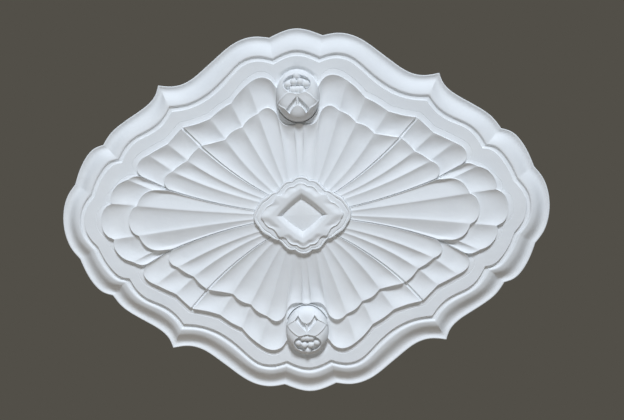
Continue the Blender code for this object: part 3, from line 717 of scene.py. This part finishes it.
def cast_plaster():
    """Gypsum plaster cast in a flexible mould and limewashed.

    It looks white and matt, with faint clouds of the wash, a fine brushed grain and a soft swell.
    """
    material, tree, shader, place = new_plaster("cast_gypsum_plaster")
    # Clouding of the limewash about 70 mm across
    cloud = add(tree, "ShaderNodeTexNoise",
                {"Vector": place, "Scale": 1 / 0.07, "Detail": 3, "Roughness": 0.5})
    tone = add(tree, "ShaderNodeMix",
               {"Factor": cloud.outputs["Fac"], "A": colour("E6E9EC"), "B": colour("F1F3F4")},
               data_type="RGBA")
    tree.links.new(tone.outputs["Result"], shader.inputs["Base Color"])
    # Patches about 20 mm across that soaked up more of the wash are duller
    soaked = add(tree, "ShaderNodeTexNoise", {"Vector": place, "Scale": 1 / 0.02, "Detail": 4})
    dull = add(tree, "ShaderNodeMapRange",
               {"Value": soaked.outputs["Fac"], "To Min": 0.62, "To Max": 0.82})
    tree.links.new(dull.outputs["Result"], shader.inputs["Roughness"])
    # Swell about 28 mm across, and brushed grain drawn 3 mm across, coarser than real so that it shows
    swell = add(tree, "ShaderNodeTexNoise", {"Vector": place, "Scale": 1 / 0.028, "Detail": 2})
    grain = add(tree, "ShaderNodeTexNoise",
                {"Vector": place, "Scale": 1 / 0.003, "Detail": 5, "Roughness": 0.6})
    relief = add(tree, "ShaderNodeBump",
                 {"Height": swell.outputs["Fac"], "Strength": 0.6, "Distance": 0.0012})
    relief = add(tree, "ShaderNodeBump",
                 {"Height": grain.outputs["Fac"], "Strength": 0.5, "Distance": 0.00025,
                  "Normal": relief.outputs["Normal"]})
    tree.links.new(relief.outputs["Normal"], shader.inputs["Normal"])
    return material


def hessian(tree, place, cloud):
    """Threads of the scrim, which show where the plaster over them is thin."""
    threads = [add(tree, "ShaderNodeTexWave",
                   {"Vector": place, "Scale": WAVE_PERIOD / THREAD_SPACING, "Distortion": 1.5,
                    "Detail": 2, "Detail Scale": 0.4}, bands_direction=way) for way in ("X", "Y")]
    weave = add(tree, "ShaderNodeMath",
                {0: threads[0].outputs["Fac"], 1: threads[1].outputs["Fac"]}, operation="MAXIMUM")
    thin = add(tree, "ShaderNodeMapRange",
               {"Value": cloud.outputs["Fac"], "From Min": 0.52, "From Max": 0.66})
    return add(tree, "ShaderNodeMath",
               {0: weave.outputs[0], 1: thin.outputs["Result"]}, operation="MULTIPLY").outputs[0]


def scored_keys(tree, place):
    """Lines scored both ways by hand, so that the adhesive holds."""
    lines = []
    for turn in (0.7, -0.8):
        turned = add(tree, "ShaderNodeMapping", {"Vector": place, "Rotation": (0, 0, turn)})
        wave = add(tree, "ShaderNodeTexWave",
                   {"Vector": turned.outputs["Vector"], "Scale": WAVE_PERIOD / KEY_SPACING,
                    "Distortion": 5.0, "Detail": 3, "Detail Scale": 0.6})
        lines.append(add(tree, "ShaderNodeMapRange",
                         {"Value": wave.outputs["Fac"], "From Min": 0.975, "From Max": 1.0}))
    return add(tree, "ShaderNodeMath",
               {0: lines[0].outputs[0], 1: lines[1].outputs[0]}, operation="MAXIMUM").outputs[0]


def struck_back():
    """Gypsum plaster struck off with a straightedge over hessian scrim: the back of a fibrous casting.

    It looks rough, greyer than the face, with patches where the cloth shows, and scored lines darkened with
    painted shade.
    """
    material, tree, shader, place = new_plaster("struck_plaster_on_hessian")
    shader.inputs["Roughness"].default_value = 0.9
    # Unevenness about 90 mm across
    cloud = add(tree, "ShaderNodeTexNoise",
                {"Vector": place, "Scale": 1 / 0.09, "Detail": 5, "Roughness": 0.6})
    cloth = hessian(tree, place, cloud)
    score = scored_keys(tree, place)
    tone = add(tree, "ShaderNodeMix",
               {"Factor": cloud.outputs["Fac"], "A": colour("D6D3CB"), "B": colour("EAE8E2")},
               data_type="RGBA")
    # The hessian's tint is the cloth's own colour; the scored lines' darker grey is painted shade in their
    # grooves, over the cut that the bump makes
    for mask, strength, tint in ((cloth, 0.45, "B9A27C"), (score, 0.14, "A9A59A")):
        part = add(tree, "ShaderNodeMath", {0: mask, 1: strength}, operation="MULTIPLY")
        tone = add(tree, "ShaderNodeMix",
                   {"Factor": part.outputs[0], "A": tone.outputs["Result"], "B": colour(tint)},
                   data_type="RGBA")
    tree.links.new(tone.outputs["Result"], shader.inputs["Base Color"])
    # Grit about 6 mm across
    grit = add(tree, "ShaderNodeTexNoise",
               {"Vector": place, "Scale": 1 / 0.006, "Detail": 6, "Roughness": 0.7})
    relief = add(tree, "ShaderNodeBump",
                 {"Height": cloud.outputs["Fac"], "Strength": 0.8, "Distance": 0.004})
    # Grit and threads stand up from the unevenness, and the scored lines cut into it
    for height, strength, depth, cut in ((grit.outputs["Fac"], 0.7, 0.0012, False),
                                         (cloth, 0.8, 0.0008, False), (score, 1.0, 0.002, True)):
        relief = add(tree, "ShaderNodeBump",
                     {"Height": height, "Strength": strength, "Distance": depth,
                      "Normal": relief.outputs["Normal"]}, invert=cut)
    tree.links.new(relief.outputs["Normal"], shader.inputs["Normal"])
    return material


# Floor, light and camera
def pale_floor():
    """A plain pale floor under the hung rose."""
    mesh = bpy.data.meshes.new("floor")
    corners = [(x * FLOOR_HALF, y * FLOOR_HALF, FLOOR) for x, y in ((-1, -1), (1, -1), (1, 1), (-1, 1))]
    mesh.from_pydata(corners, [], [(0, 1, 2, 3)])
    floor = bpy.data.objects.new("floor", mesh)
    bpy.context.scene.collection.objects.link(floor)
    pale = bpy.data.materials.new("pale_floor")
    pale.use_nodes = True
    shader = pale.node_tree.nodes["Principled BSDF"]
    shader.inputs["Base Color"].default_value = colour("D8D6D2")
    shader.inputs["Roughness"].default_value = 0.8
    mesh.materials.append(pale)


def aim_light(lamp, place, way):
    """Hangs a lamp in its place and turns it to shine one way."""
    light = bpy.data.objects.new(lamp.name, lamp)
    light.location = place
    light.rotation_euler = Vector(way).to_track_quat("-Z", "Y").to_euler()
    bpy.context.scene.collection.objects.link(light)


def area_light(name, place, size, power, tint):
    """A soft box that shines on the middle of the rose."""
    lamp = bpy.data.lights.new(name, "AREA")
    lamp.shape = "RECTANGLE"
    lamp.size, lamp.size_y = size
    lamp.energy = power
    lamp.color = colour(tint)[:3]
    aim_light(lamp, place, -Vector(place))


def studio():
    """The key grazes the face from the end of one bud, as in the photograph, and weak fills lift it."""
    pale_floor()
    key = bpy.data.lights.new("key", "SUN")
    key.energy = 3.0
    key.angle = math.radians(11)
    key.color = colour("E9F2FD")[:3]
    aim_light(key, (0, 0, 0), (0.10, -math.sin(KEY_SLANT), math.cos(KEY_SLANT)))
    area_light("front_fill", (0.1, -0.3, -2.4), (2.4, 2.4), 15, "F2F6FA")
    area_light("warm_bounce", (0.6, -2.6, -1.0), (2.0, 1.0), 5, "FFD9B0")
    area_light("back_light", (0.8, -1.2, 2.2), (2.0, 2.0), 30, "FFFFFF")
    world = bpy.context.scene.world or bpy.data.worlds.new("room")
    bpy.context.scene.world = world
    world.use_nodes = True
    room = world.node_tree.nodes["Background"]
    room.inputs["Color"].default_value = colour("524F48")
    room.inputs["Strength"].default_value = 1.0


def camera():
    """The photograph's view: from below, a little towards the bud at the top of the picture."""
    lens = bpy.data.cameras.new("camera")
    lens.sensor_fit = "HORIZONTAL"
    lens.sensor_width = SENSOR
    lens.lens = FOCAL_PIXELS / PICTURE_WIDTH * SENSOR
    lens.clip_start = 0.05
    eye = bpy.data.objects.new("camera", lens)
    turn = Matrix((CAMERA_RIGHT, CAMERA_UP, -CAMERA_AHEAD)).transposed()
    eye.matrix_world = Matrix.Translation(CAMERA_PLACE) @ turn.to_4x4()
    bpy.context.scene.collection.objects.link(eye)
    bpy.context.scene.camera = eye
    bpy.context.scene.view_settings.view_transform = "Standard"


CAST_PLASTER = cast_plaster()
STRUCK_BACK = struck_back()
rose_body()
plaque()
bud("top_bud", 1)
bud("bottom_bud", -1)
studio()
camera()
